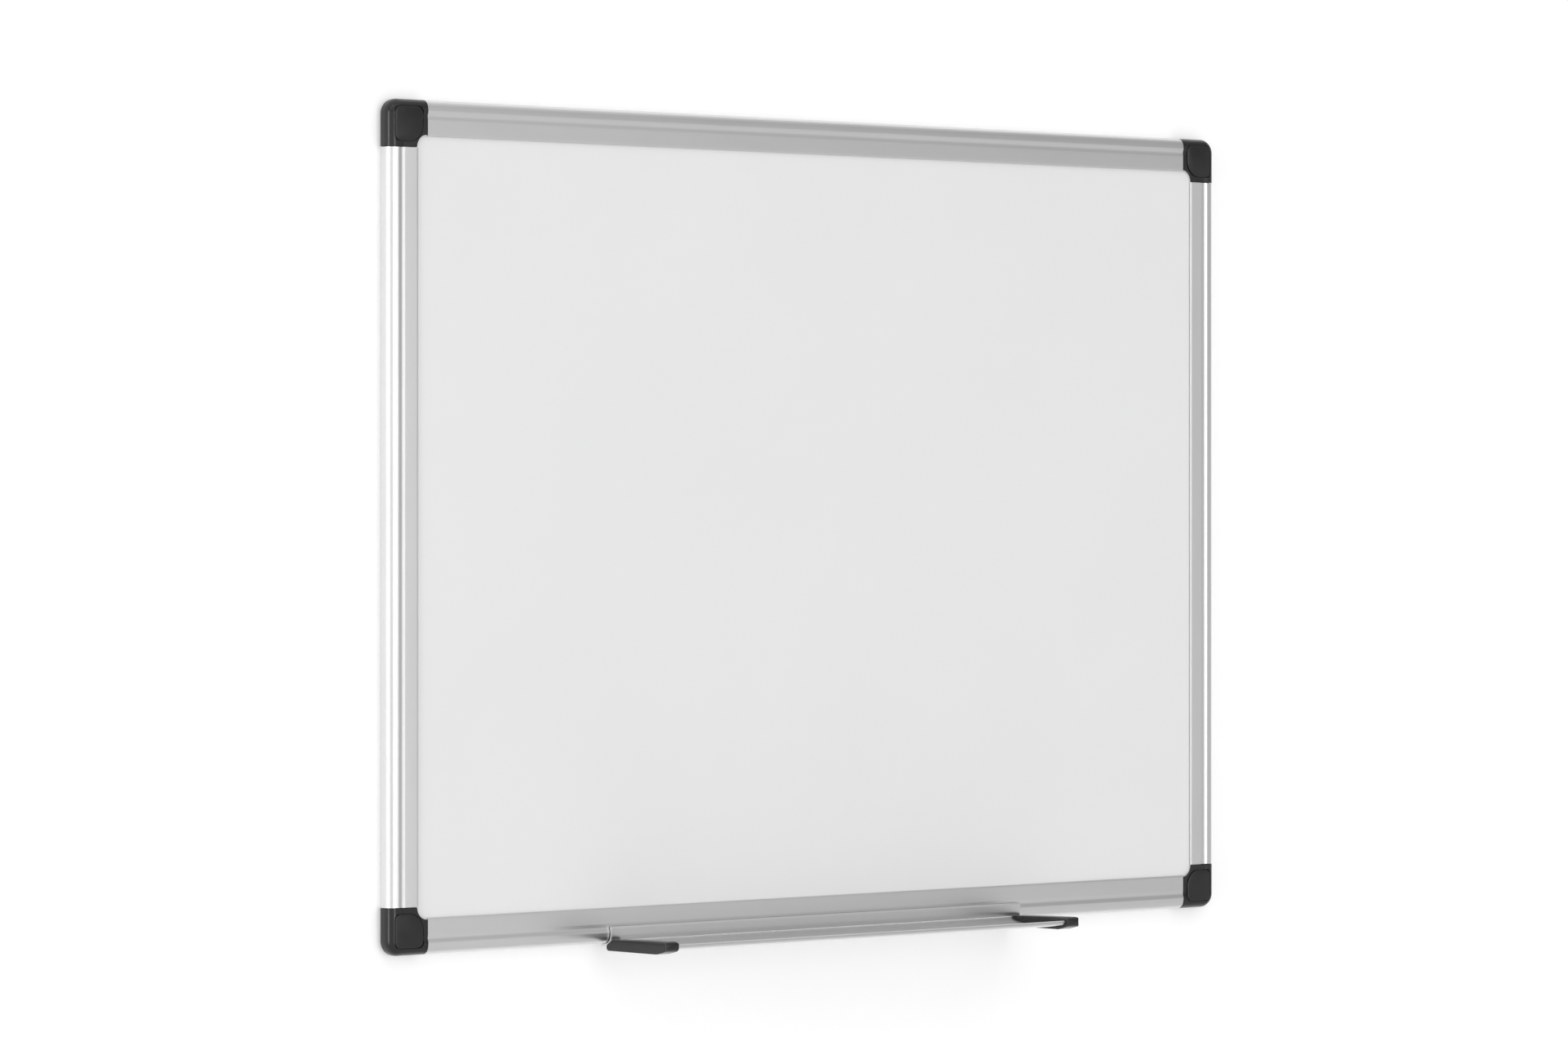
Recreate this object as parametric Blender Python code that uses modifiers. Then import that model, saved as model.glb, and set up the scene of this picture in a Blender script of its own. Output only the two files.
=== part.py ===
"""Framed magnetic whiteboard for a wall, with plastic corners and a clip-on pen tray.

Metres. The origin is the centre of the board on the wall plane: +X runs to the right,
+Z up, and the writing surface faces -Y. In the sections below, A runs inward from the
frame's outer edge, D off the wall, and H up from the frame's lower edge.
"""

import math

import bmesh
import bpy
from mathutils import Matrix, Vector

# The whole board
BOARD_WIDTH = 0.600
BOARD_HEIGHT = 0.450
CLEARANCE = 0.0003
OVERRUN = 0.002
WELD = 0.000001
FLAT_ANGLE = math.radians(0.1)
ARC_STEPS = 8
EDGE_STEPS = 3
BORE_SIDES = 24
SMALL_SIDES = 12

# The laminated panel, from the wall outwards
BACKING_THICKNESS = 0.0005
CORE_THICKNESS = 0.0051
SHEET_THICKNESS = 0.0005
PANEL_EDGE_GAP = 0.0004

# Frame rail section
RAIL_WALL = 0.0011
BEAD_FRONT_RADIUS = 0.0048
BEAD_BACK_RADIUS = 0.0030
CREST_RISE = 0.0008
CREST_WIDTH = 0.0015
CREST_EASE = 0.0030
GROOVE_DEPTH = 0.00075
GROOVE_OUTER_WIDTH = 0.0021
GROOVE_INNER_WIDTH = 0.00225
GROOVE_EASE = 0.0030
FLANGE_WIDTH = 0.00745
FLANGE_DROP = 0.0005
SLOPE_WIDTH = 0.0012
SLOPE_DROP = 0.00008
CHAMBER_WIDTH = 0.0074
BACK_FLANGE_WIDTH = 0.0074

# Corner cap
CAP_LEG = 0.0252
CAP_SETBACK = 0.0008
CAP_CORNER_EASE = 0.0032
CAP_FLOOR = 0.0005
POST_WALL = 0.0008
TONGUE_LENGTH = 0.020

# Snap cover over the wall screw
COVER_MARGIN = 0.0041
COVER_SIDE = 0.0180
COVER_THICKNESS = 0.0010
COVER_GAP = 0.0005
COVER_RADIUS = 0.0030
COVER_INNER_RADIUS = 0.0090
COVER_EDGE_RADIUS = 0.0006
PIN_RADIUS = 0.0010
PIN_LENGTH = 0.0032
PIN_CORNER_INSET = 0.0059
PIN_LEG_INSET = 0.0063
PIN_LEG_REACH = 0.0188

# Wall screw
SCREW_INSET = 0.0105
SEAT_THICKNESS = 0.0045
HEAD_RADIUS = 0.0042
HEAD_HEIGHT = 0.0026
HEAD_PLAY = 0.0006
SHANK_RADIUS = 0.0017
THREAD_HEIGHT = 0.0004
THREAD_PITCH = 0.0022
THREAD_COUNT = 10
SHANK_CLEAR_LENGTH = 0.0050
POINT_LENGTH = 0.0040
DRIVE_LENGTH = 0.0044
DRIVE_WIDTH = 0.0010
DRIVE_DEPTH = 0.0014

# Pen tray section
TRAY_LENGTH = 0.2970
TRAY_REST_X = -0.0042
CLIP_WALL = 0.0012
CLIP_NOSE = 0.0009
CLIP_TIP_GAP = 0.0004
CLIP_TOP = 0.0092
HOOK_TURN = math.radians(12)
SHELF_ANGLE = math.radians(-40)
SHELF_WALL = 0.0013
SHELF_SPAN = 0.0469
SHELF_SAG = 0.00335
LIP_RADIUS = 0.0012

# Pen tray end cap
TRAY_CAP_WIDTH = 0.0090
TRAY_CAP_WALL = 0.0012
TRAY_CAP_SOLE = 0.0006
TRAY_CAP_NOSE = 0.0021
TRAY_CAP_BACK_GAP = 0.0020
TRAY_CAP_BACK_RISE = 0.0005
TRAY_CAP_FRONT_RISE = 0.0020
TRAY_CAP_CHIN = 0.0052
TRAY_CAP_RAKE = 0.0084
TRAY_CAP_HEEL_REACH = 0.0011
TRAY_CAP_SOLE_RISE = 0.0004
TRAY_CAP_TOP_RADIUS = 0.0024
TRAY_CAP_CHIN_RADIUS = 0.0034
TRAY_CAP_SOLE_RADIUS = 0.0040
TRAY_CAP_HEEL_RADIUS = 0.0019
TRAY_CAP_PLAN_RADIUS = 0.0022
TRAY_CAP_INNER_RADIUS = 0.0006

# Sizes that follow from those above
CHANNEL_DEPTH = (
    RAIL_WALL + BACKING_THICKNESS + CORE_THICKNESS + SHEET_THICKNESS + CLEARANCE * 4
)
FLANGE_LEVEL = CHANNEL_DEPTH + RAIL_WALL
RAIL_DEPTH = FLANGE_LEVEL + FLANGE_DROP
CREST_END = BEAD_FRONT_RADIUS + CREST_WIDTH
GROOVE_CENTRE = CREST_END + GROOVE_OUTER_WIDTH
JUNCTION = GROOVE_CENTRE + GROOVE_INNER_WIDTH
RAIL_FACE = JUNCTION + FLANGE_WIDTH + SLOPE_WIDTH
CHAMBER_DEPTH = RAIL_DEPTH - GROOVE_DEPTH - RAIL_WALL * 2
WEB_FACE = CHAMBER_WIDTH + RAIL_WALL * 2
CAP_INNER = RAIL_FACE - CAP_SETBACK
CAP_CORNER_RADIUS = BEAD_FRONT_RADIUS + CAP_CORNER_EASE
HEAD_BORE_RADIUS = HEAD_RADIUS + HEAD_PLAY
SHANK_BORE_RADIUS = SHANK_RADIUS + THREAD_HEIGHT + CLEARANCE
POST_SIDE = SCREW_INSET + HEAD_BORE_RADIUS + POST_WALL
RECESS_FLOOR = CHANNEL_DEPTH + CAP_FLOOR
COVER_BACK = RECESS_FLOOR + CLEARANCE
CLIP_CENTRE = (RAIL_DEPTH - BEAD_FRONT_RADIUS, BEAD_FRONT_RADIUS)
CLIP_INNER = BEAD_FRONT_RADIUS + CLEARANCE
CLIP_OUTER = CLIP_INNER + CLIP_WALL
SHELF_START = (
    CLIP_CENTRE[0] + (CLIP_INNER + CLIP_WALL / 2) * math.cos(SHELF_ANGLE),
    CLIP_CENTRE[1] + (CLIP_INNER + CLIP_WALL / 2) * math.sin(SHELF_ANGLE),
)
CREST_LEVEL = SHELF_START[1] + SHELF_WALL / 2
SHELF_LOW = CREST_LEVEL - SHELF_SAG - SHELF_WALL
TRAY_CAP_OUTER = TRAY_LENGTH / 2 + CLEARANCE + TRAY_CAP_WALL

# Each corner: its name, which way it lies along X and Z, and its quarter turns about Y
CORNERS = (
    ("bottom_left", -1, -1, 0),
    ("top_left", -1, 1, 1),
    ("top_right", 1, 1, 2),
    ("bottom_right", 1, -1, 3),
)
# Each rail: its name, which way it lies along X and Z, and its quarter turns about Y
RAILS = (
    ("bottom", 0, -1, 0),
    ("left", -1, 0, 1),
    ("top", 0, 1, 2),
    ("right", 1, 0, 3),
)

# Local axes given as world directions: plan drawings, rail sections and tray sections
PLAN_AXES = ((1, 0, 0), (0, 0, 1), (0, -1, 0))
RAIL_AXES = ((0, 0, 1), (0, -1, 0), (1, 0, 0))
TRAY_AXES = ((0, -1, 0), (0, 0, 1), (-1, 0, 0))
TRAY_PLAN_AXES = ((1, 0, 0), (0, -1, 0), (0, 0, -1))


def clear_scene():
    for item in list(bpy.data.objects):
        bpy.data.objects.remove(item, do_unlink=True)


def new_collection(name):
    collection = bpy.data.collections.new(name)
    bpy.context.scene.collection.children.link(collection)
    return collection


def material(name, colour, roughness, metallic):
    result = bpy.data.materials.new(name)
    result.use_nodes = True
    shader = result.node_tree.nodes["Principled BSDF"]
    shader.inputs["Base Color"].default_value = (*colour, 1)
    shader.inputs["Roughness"].default_value = roughness
    shader.inputs["Metallic"].default_value = metallic
    return result


def axes_matrix(axes, place=(0, 0, 0)):
    """A matrix whose columns are three world directions, at a place."""
    columns = [Vector(axis) for axis in axes]
    return Matrix.Translation(place) @ Matrix(columns).transposed().to_4x4()


def quarter_turned(turns, place):
    """A placement turned about Y by quarter turns."""
    return Matrix.Translation(place) @ Matrix.Rotation(turns * math.pi / 2, 4, "Y")


def arc(centre, radius, start, end, steps=ARC_STEPS):
    """Points along an arc from one angle to another."""
    angles = [start + (end - start) * i / steps for i in range(steps + 1)]
    return [
        (centre[0] + radius * math.cos(a), centre[1] + radius * math.sin(a))
        for a in angles
    ]


def rounded(corners, steps=ARC_STEPS):
    """A closed outline through corners (u, v, radius), each eased by its own radius."""
    points = []
    for i, (u, v, radius) in enumerate(corners):
        here = Vector((u, v))
        if not radius:
            points.append((u, v))
            continue
        back = (Vector(corners[i - 1][:2]) - here).normalized()
        ahead = (Vector(corners[(i + 1) % len(corners)][:2]) - here).normalized()
        half = back.angle(ahead) / 2
        centre = here + (back + ahead).normalized() * radius / math.sin(half)
        first = here + back * radius / math.tan(half) - centre
        last = here + ahead * radius / math.tan(half) - centre
        start = math.atan2(first.y, first.x)
        turn = (math.atan2(last.y, last.x) - start + math.pi) % math.tau - math.pi
        points += arc(centre, radius, start, start + turn, steps)
    return points


def solid(name, outlines, start, end, placement=None):
    """An object made by filling outlines in the local XY plane, extruded along Z."""
    curve = bpy.data.curves.new(name, "CURVE")
    curve.dimensions = "2D"
    curve.fill_mode = "BOTH"
    curve.extrude = (end - start) / 2
    for outline in outlines:
        spline = curve.splines.new("POLY")
        spline.points.add(len(outline) - 1)
        for point, (u, v) in zip(spline.points, outline):
            point.co = (u, v, 0, 1)
        spline.use_cyclic_u = True
    drawing = bpy.data.objects.new(name, curve)
    bpy.context.scene.collection.objects.link(drawing)
    mesh = evaluated_mesh(drawing)
    remove(drawing)
    with_bmesh(mesh, lambda bm: bmesh.ops.remove_doubles(bm, verts=bm.verts, dist=WELD))
    if len(outlines) == 1:
        with_bmesh(mesh, join_flat_faces)
    shift = Matrix.Translation((0, 0, (start + end) / 2))
    mesh.transform((placement or Matrix()) @ shift)
    return linked(name, mesh)


def linked(name, mesh):
    result = bpy.data.objects.new(name, mesh)
    bpy.context.scene.collection.objects.link(result)
    return result


def evaluated_mesh(source):
    depsgraph = bpy.context.evaluated_depsgraph_get()
    return bpy.data.meshes.new_from_object(source.evaluated_get(depsgraph))


def remove(*objects):
    for item in objects:
        bpy.data.objects.remove(item, do_unlink=True)


def with_bmesh(mesh, change):
    bm = bmesh.new()
    bm.from_mesh(mesh)
    change(bm)
    bm.to_mesh(mesh)
    bm.free()


def join_flat_faces(bm):
    bmesh.ops.dissolve_limit(
        bm, angle_limit=FLAT_ANGLE, verts=bm.verts, edges=bm.edges
    )


def boolean(target, others, operation):
    """Cuts, joins or trims the target by each of the others, which are used up."""
    for other in others:
        modifier = target.modifiers.new(operation.title(), "BOOLEAN")
        modifier.operation = operation
        modifier.solver = "EXACT"
        modifier.object = other
    mesh = evaluated_mesh(target)
    target.modifiers.clear()
    target.data = mesh
    remove(*others)
    return target


def rounded_rim(target, on_rim, radius, segments):
    """Eases the sharp edges whose two ends both lie on the rim."""

    def change(bm):
        bm.normal_update()
        sharp = [
            edge
            for edge in bm.edges
            if all(on_rim(vertex.co) for vertex in edge.verts)
            and edge.calc_face_angle(0) > math.pi / 4
        ]
        bmesh.ops.bevel(
            bm,
            geom=sharp,
            offset=radius,
            segments=segments,
            profile=0.5,
            affect="EDGES",
            clamp_overlap=True,
        )

    with_bmesh(target.data, change)


def cylinder(name, radius, start, end, centre, sides=BORE_SIDES):
    """A round bar along the local Z axis."""
    mesh = bpy.data.meshes.new(name)
    place = Matrix.Translation((centre[0], centre[1], (start + end) / 2))

    def change(bm):
        bmesh.ops.create_cone(
            bm,
            cap_ends=True,
            segments=sides,
            radius1=radius,
            radius2=radius,
            depth=end - start,
            matrix=place,
        )

    with_bmesh(mesh, change)
    return linked(name, mesh)


def box(name, low, high):
    mesh = bpy.data.meshes.new(name)
    middle = [(a + b) / 2 for a, b in zip(low, high)]
    size = [b - a for a, b in zip(low, high)]
    place = Matrix.Translation(middle) @ Matrix.Diagonal((*size, 1))
    with_bmesh(mesh, lambda bm: bmesh.ops.create_cube(bm, size=1, matrix=place))
    return linked(name, mesh)


def finish(item, collection, look, placement=None):
    """Puts a finished piece in the board's collection with its material."""
    item.data.materials.clear()
    item.data.materials.append(look)
    item.data.shade_smooth()
    item.data.set_sharp_from_angle(angle=math.radians(35))
    bpy.context.scene.collection.objects.unlink(item)
    collection.objects.link(item)
    if placement is not None:
        item.matrix_world = placement
    return item


def copies(prototype, names_and_places, collection, look):
    """One object for each name and placement, all sharing the prototype's mesh."""
    mesh = prototype.data
    remove(prototype)
    for name, placement in names_and_places:
        finish(linked(name, mesh), collection, look, placement)


def panel_outline():
    """The panel's outline, with a square notch at each corner for the corner post."""
    right = BOARD_WIDTH / 2 - WEB_FACE - PANEL_EDGE_GAP
    top = BOARD_HEIGHT / 2 - WEB_FACE - PANEL_EDGE_GAP
    notch_x = BOARD_WIDTH / 2 - POST_SIDE - CLEARANCE
    notch_z = BOARD_HEIGHT / 2 - POST_SIDE - CLEARANCE
    quarter = [(right, notch_z), (notch_x, notch_z), (notch_x, top)]
    left_half = [(-x, z) for x, z in reversed(quarter)]
    lower_half = [(x, -z) for x, z in reversed(quarter + left_half)]
    return quarter + left_half + lower_half


def make_panel(collection, looks):
    """Steel backing, fibre core and lacquered steel sheet, one behind the other."""
    level = RAIL_WALL + CLEARANCE
    layers = (
        ("backing_sheet", BACKING_THICKNESS, looks["galvanised"]),
        ("core_board", CORE_THICKNESS, looks["fibreboard"]),
        ("writing_sheet", SHEET_THICKNESS, looks["lacquer"]),
    )
    for name, thickness, look in layers:
        layer = solid(
            name, [panel_outline()], level, level + thickness, axes_matrix(PLAN_AXES)
        )
        finish(layer, collection, look)
        level += thickness + CLEARANCE


def chamber_outline(inset=0):
    """The rail's hollow chamber, or what slides into it with an inset all round."""
    low = RAIL_WALL + inset
    high_a = RAIL_WALL + CHAMBER_WIDTH - inset
    high_d = RAIL_WALL + CHAMBER_DEPTH - inset
    back_radius = max(BEAD_BACK_RADIUS - RAIL_WALL - inset, 0)
    front_radius = max(BEAD_FRONT_RADIUS - RAIL_WALL - GROOVE_DEPTH - inset, 0)
    return rounded(
        [
            (low, low, back_radius),
            (high_a, low, 0),
            (high_a, high_d, 0),
            (low, high_d, front_radius),
        ]
    )


def rail_outline():
    """The rail's outside: bead, groove, flange, slope and the channel for the panel."""
    return rounded(
        [
            (0, 0, BEAD_BACK_RADIUS),
            (0, RAIL_DEPTH - CREST_RISE, BEAD_FRONT_RADIUS),
            (CREST_END, RAIL_DEPTH, CREST_EASE),
            (GROOVE_CENTRE, RAIL_DEPTH - GROOVE_DEPTH, GROOVE_EASE),
            (JUNCTION, FLANGE_LEVEL, 0),
            (RAIL_FACE - SLOPE_WIDTH, FLANGE_LEVEL, 0),
            (RAIL_FACE, FLANGE_LEVEL - SLOPE_DROP, 0),
            (RAIL_FACE, CHANNEL_DEPTH, 0),
            (WEB_FACE, CHANNEL_DEPTH, 0),
            (WEB_FACE, RAIL_WALL, 0),
            (WEB_FACE + BACK_FLANGE_WIDTH, RAIL_WALL, 0),
            (WEB_FACE + BACK_FLANGE_WIDTH, 0, 0),
        ]
    )


def make_rails(collection, look):
    """Four extrusions between the corner caps."""
    for name, along_x, along_z, turns in RAILS:
        run = BOARD_WIDTH if along_x == 0 else BOARD_HEIGHT
        half = run / 2 - CAP_LEG - CLEARANCE
        rail = solid(
            f"frame_rail_{name}",
            [rail_outline(), chamber_outline()],
            -half,
            half,
            axes_matrix(RAIL_AXES),
        )
        place = (along_x * BOARD_WIDTH / 2, 0, along_z * BOARD_HEIGHT / 2)
        finish(rail, collection, look, quarter_turned(turns, place))


def corner_places(stem):
    """Names and placements of a piece drawn in plan at each corner of the board."""
    return [
        (
            f"{stem}_{name}",
            quarter_turned(
                turns, (along_x * BOARD_WIDTH / 2, 0, along_z * BOARD_HEIGHT / 2)
            )
            @ axes_matrix(PLAN_AXES),
        )
        for name, along_x, along_z, turns in CORNERS
    ]


def cap_outline():
    """Two legs, a rounded outer corner and a hollow quarter round at the inner one."""
    corner = (CAP_CORNER_RADIUS, CAP_CORNER_RADIUS)
    outer = arc(corner, CAP_CORNER_RADIUS, math.pi, math.pi * 3 / 2)
    hollow = arc((CAP_LEG, CAP_LEG), CAP_LEG - CAP_INNER, -math.pi / 2, -math.pi)
    return outer + [(CAP_LEG, 0)] + hollow + [(0, CAP_LEG)]


def cap_body():
    body = solid("cap_body", [cap_outline()], 0, RAIL_DEPTH)

    def outside(point):
        in_corner = max(point.x, point.y) < CAP_CORNER_RADIUS
        return min(point.x, point.y) < WELD or in_corner

    def front(point):
        return outside(point) and point.z > RAIL_DEPTH / 2

    def back(point):
        return outside(point) and point.z < RAIL_DEPTH / 2

    rounded_rim(body, front, BEAD_FRONT_RADIUS, ARC_STEPS)
    rounded_rim(body, back, BEAD_BACK_RADIUS, EDGE_STEPS)
    return body


def cap_tongues():
    """A tongue along each leg, which slides into the rail's chamber."""
    start = CAP_LEG - OVERRUN
    end = CAP_LEG + TONGUE_LENGTH
    outline = [chamber_outline(CLEARANCE)]
    along_u = axes_matrix(((0, 1, 0), (0, 0, 1), (1, 0, 0)))
    along_v = axes_matrix(((1, 0, 0), (0, 0, 1), (0, -1, 0)))
    return [
        solid("tongue_u", outline, start, end, along_u),
        solid("tongue_v", outline, -end, -start, along_v),
    ]


def panel_pocket():
    """The room for the panel's notched corner behind the cap's face."""
    far = CAP_LEG + OVERRUN
    outline = [
        (WEB_FACE, far),
        (WEB_FACE, POST_SIDE),
        (POST_SIDE, POST_SIDE),
        (POST_SIDE, WEB_FACE),
        (far, WEB_FACE),
        (far, far),
    ]
    return solid("panel_pocket", [outline], RAIL_WALL, CHANNEL_DEPTH)


def groove_cutters():
    """The rail's groove and its step down to the flange, carried over each leg."""
    top = RAIL_DEPTH + OVERRUN
    outline = [
        (CREST_END, RAIL_DEPTH),
        (CREST_END, top),
        (CAP_LEG + OVERRUN, top),
        (CAP_LEG + OVERRUN, FLANGE_LEVEL),
        (JUNCTION, FLANGE_LEVEL),
        (GROOVE_CENTRE, RAIL_DEPTH - GROOVE_DEPTH),
    ]
    start = COVER_MARGIN + COVER_SIDE
    end = CAP_LEG + OVERRUN
    along_u = axes_matrix(((0, 1, 0), (0, 0, 1), (1, 0, 0)))
    along_v = axes_matrix(((1, 0, 0), (0, 0, 1), (0, -1, 0)))
    return [
        solid("groove_u", [outline], start, end, along_u),
        solid("groove_v", [outline], -end, -start, along_v),
        box("flange_step", (JUNCTION, JUNCTION, FLANGE_LEVEL), (end, end, top)),
    ]


def cover_outline(grow=0):
    """The snap cover, or its recess with a gap all round."""
    low = COVER_MARGIN - grow
    high = COVER_MARGIN + COVER_SIDE + grow
    return rounded(
        [
            (low, low, COVER_RADIUS + grow),
            (high, low, COVER_RADIUS + grow),
            (high, high, COVER_INNER_RADIUS + grow),
            (low, high, COVER_RADIUS + grow),
        ]
    )


def pin_places():
    return (
        (PIN_CORNER_INSET, PIN_CORNER_INSET),
        (PIN_LEG_REACH, PIN_LEG_INSET),
        (PIN_LEG_INSET, PIN_LEG_REACH),
    )


def cover_recess():
    """The recess for the snap cover, the holes for its pins and those for the screw."""
    top = RAIL_DEPTH + OVERRUN
    centre = (SCREW_INSET, SCREW_INSET)
    pin_floor = COVER_BACK - PIN_LENGTH - CLEARANCE
    recess = solid("recess", [cover_outline(COVER_GAP)], RECESS_FLOOR, top)
    holes = [
        cylinder("head_bore", HEAD_BORE_RADIUS, SEAT_THICKNESS, top, centre),
        cylinder("shank_bore", SHANK_BORE_RADIUS, -OVERRUN, top, centre),
    ]
    for place in pin_places():
        radius = PIN_RADIUS + CLEARANCE
        holes.append(cylinder("pin_hole", radius, pin_floor, top, place, SMALL_SIDES))
    return [recess] + holes


def make_corner_caps(collection, look):
    cap = boolean(cap_body(), [panel_pocket()], "DIFFERENCE")
    cap = boolean(cap, groove_cutters(), "DIFFERENCE")
    cap = boolean(cap, cover_recess(), "DIFFERENCE")
    cap = boolean(cap, cap_tongues(), "UNION")
    copies(cap, corner_places("corner_cap"), collection, look)


def make_screw_covers(collection, look):
    """Snap covers, each with three pins on its back."""
    front = COVER_BACK + COVER_THICKNESS
    cover = solid("screw_cover", [cover_outline()], COVER_BACK, front)
    rounded_rim(cover, lambda point: point.z > front - WELD, COVER_EDGE_RADIUS, EDGE_STEPS)
    middle = COVER_BACK + COVER_THICKNESS / 2
    pins = [
        cylinder("pin", PIN_RADIUS, COVER_BACK - PIN_LENGTH, middle, place, SMALL_SIDES)
        for place in pin_places()
    ]
    cover = boolean(cover, pins, "UNION")
    copies(cover, corner_places("screw_cover"), collection, look)


def screw_profile():
    """Half the screw's section, from the top of its domed head to its point."""
    seat = SEAT_THICKNESS + CLEARANCE
    top = seat + HEAD_HEIGHT
    rim = seat + HEAD_HEIGHT / 2
    dome = [
        (HEAD_RADIUS * math.sin(a), rim + (top - rim) * math.cos(a))
        for a in [math.pi / 2 * i / ARC_STEPS for i in range(ARC_STEPS + 1)]
    ]
    points = dome + [(HEAD_RADIUS, seat), (SHANK_RADIUS, seat)]
    level = seat - SHANK_CLEAR_LENGTH
    for _ in range(THREAD_COUNT):
        points.append((SHANK_RADIUS, level))
        points.append((SHANK_RADIUS + THREAD_HEIGHT, level - THREAD_PITCH / 2))
        level -= THREAD_PITCH
    return points + [(SHANK_RADIUS, level), (0, level - POINT_LENGTH)]


def make_wall_screws(collection, look):
    """Pan-head screws that hold the corners to the wall, turned from one profile."""
    mesh = bpy.data.meshes.new("screw_profile")
    profile = screw_profile()
    links = [(i, i + 1) for i in range(len(profile) - 1)]
    mesh.from_pydata([(r, 0, z) for r, z in profile], links, [])
    screw = linked("wall_screw", mesh)
    turned = screw.modifiers.new("Turned", "SCREW")
    turned.steps = SMALL_SIDES
    turned.render_steps = SMALL_SIDES
    turned.use_merge_vertices = True
    turned.merge_threshold = WELD
    screw.data = evaluated_mesh(screw)
    screw.modifiers.clear()
    top = SEAT_THICKNESS + CLEARANCE + HEAD_HEIGHT
    bottom = top - DRIVE_DEPTH
    long, wide = DRIVE_LENGTH / 2, DRIVE_WIDTH / 2
    slots = [
        box("drive_u", (-long, -wide, bottom), (long, wide, top + OVERRUN)),
        box("drive_v", (-wide, -long, bottom), (wide, long, top + OVERRUN)),
    ]
    screw = boolean(screw, slots, "DIFFERENCE")
    screw.data.transform(Matrix.Translation((SCREW_INSET, SCREW_INSET, 0)))
    copies(screw, corner_places("wall_screw"), collection, look)


def clip_outline():
    """The tray's clip: a lip in the rail's groove, a plate before it and a hook under it."""
    hook_centre = (BEAD_BACK_RADIUS, BEAD_BACK_RADIUS)
    hook_inner = BEAD_BACK_RADIUS + CLEARANCE
    hook_end = -math.pi / 2 - HOOK_TURN
    plate_inner = RAIL_DEPTH + CLEARANCE
    outer = arc(CLIP_CENTRE, CLIP_OUTER, 0, -math.pi / 2)
    outer += arc(hook_centre, hook_inner + CLIP_WALL, -math.pi / 2, hook_end)
    inner = arc(hook_centre, hook_inner, hook_end, -math.pi / 2)
    inner += arc(CLIP_CENTRE, CLIP_INNER, -math.pi / 2, 0)
    nose = [
        (plate_inner, CREST_END + CLEARANCE),
        (RAIL_DEPTH - GROOVE_DEPTH + CLIP_TIP_GAP, GROOVE_CENTRE),
        (RAIL_DEPTH - GROOVE_DEPTH + CLIP_TIP_GAP, CLIP_TOP),
        (plate_inner + CLIP_WALL / 4, CLIP_TOP),
        (plate_inner + CLIP_WALL, CLIP_TOP - CLIP_NOSE),
    ]
    return outer + inner + nose


def shelf_outline(grow=0):
    """The pen trough: a sheet sagging between the clip and a thick rounded front lip."""
    half = SHELF_SPAN / 2
    middle = SHELF_START[0] + half
    top_radius = (half**2 + SHELF_SAG**2) / (SHELF_SAG * 2)
    sweep = math.asin(half / top_radius)
    centre = (middle, CREST_LEVEL - SHELF_SAG + top_radius)
    down = -math.pi / 2
    top = arc(centre, top_radius - grow, down - sweep, down + sweep, ARC_STEPS * 2)
    lip_centre = (SHELF_START[0] + SHELF_SPAN, CREST_LEVEL - LIP_RADIUS)
    lip = arc(lip_centre, LIP_RADIUS + grow, math.pi / 2, -math.pi / 2)
    rise = lip_centre[1] - LIP_RADIUS - SHELF_LOW
    front_radius = (half**2 + rise**2) / (rise * 2)
    front_centre = (middle, SHELF_LOW + front_radius)
    front_sweep = math.asin(half / front_radius)
    front = arc(front_centre, front_radius + grow, down + front_sweep, down)
    back = arc(centre, top_radius + SHELF_WALL + grow, down, down - sweep)
    return top[:-1] + lip + front[1:-1] + back


def make_pen_tray(collection, look):
    placement = axes_matrix(TRAY_AXES)
    half = TRAY_LENGTH / 2
    tray = solid("pen_tray", [clip_outline()], -half, half, placement)
    shelf = solid("shelf", [shelf_outline()], -half, half, placement)
    tray = boolean(tray, [shelf], "UNION")
    finish(tray, collection, look, Matrix.Translation(tray_place()))


def tray_place():
    return (TRAY_REST_X, 0, -BOARD_HEIGHT / 2)


def tray_cap_front():
    return SHELF_START[0] + SHELF_SPAN + LIP_RADIUS + CLEARANCE + TRAY_CAP_NOSE


def tray_cap_outline():
    """The end cap seen from the side: slanted back, rounded heel and chin, sloping top."""
    front = tray_cap_front()
    back = CLIP_CENTRE[0] + CLIP_OUTER + TRAY_CAP_BACK_GAP
    heel = CLIP_CENTRE[0] - TRAY_CAP_HEEL_REACH
    sole = SHELF_LOW - CLEARANCE - TRAY_CAP_SOLE
    toe = (front - TRAY_CAP_RAKE, sole + TRAY_CAP_SOLE_RISE, TRAY_CAP_SOLE_RADIUS)
    front_top = CREST_LEVEL + TRAY_CAP_FRONT_RISE
    return rounded(
        [
            (heel, sole, TRAY_CAP_HEEL_RADIUS),
            toe,
            (front, front_top - TRAY_CAP_CHIN, TRAY_CAP_CHIN_RADIUS),
            (front, front_top, TRAY_CAP_TOP_RADIUS),
            (back, CREST_LEVEL + TRAY_CAP_BACK_RISE, 0),
        ]
    )


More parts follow.
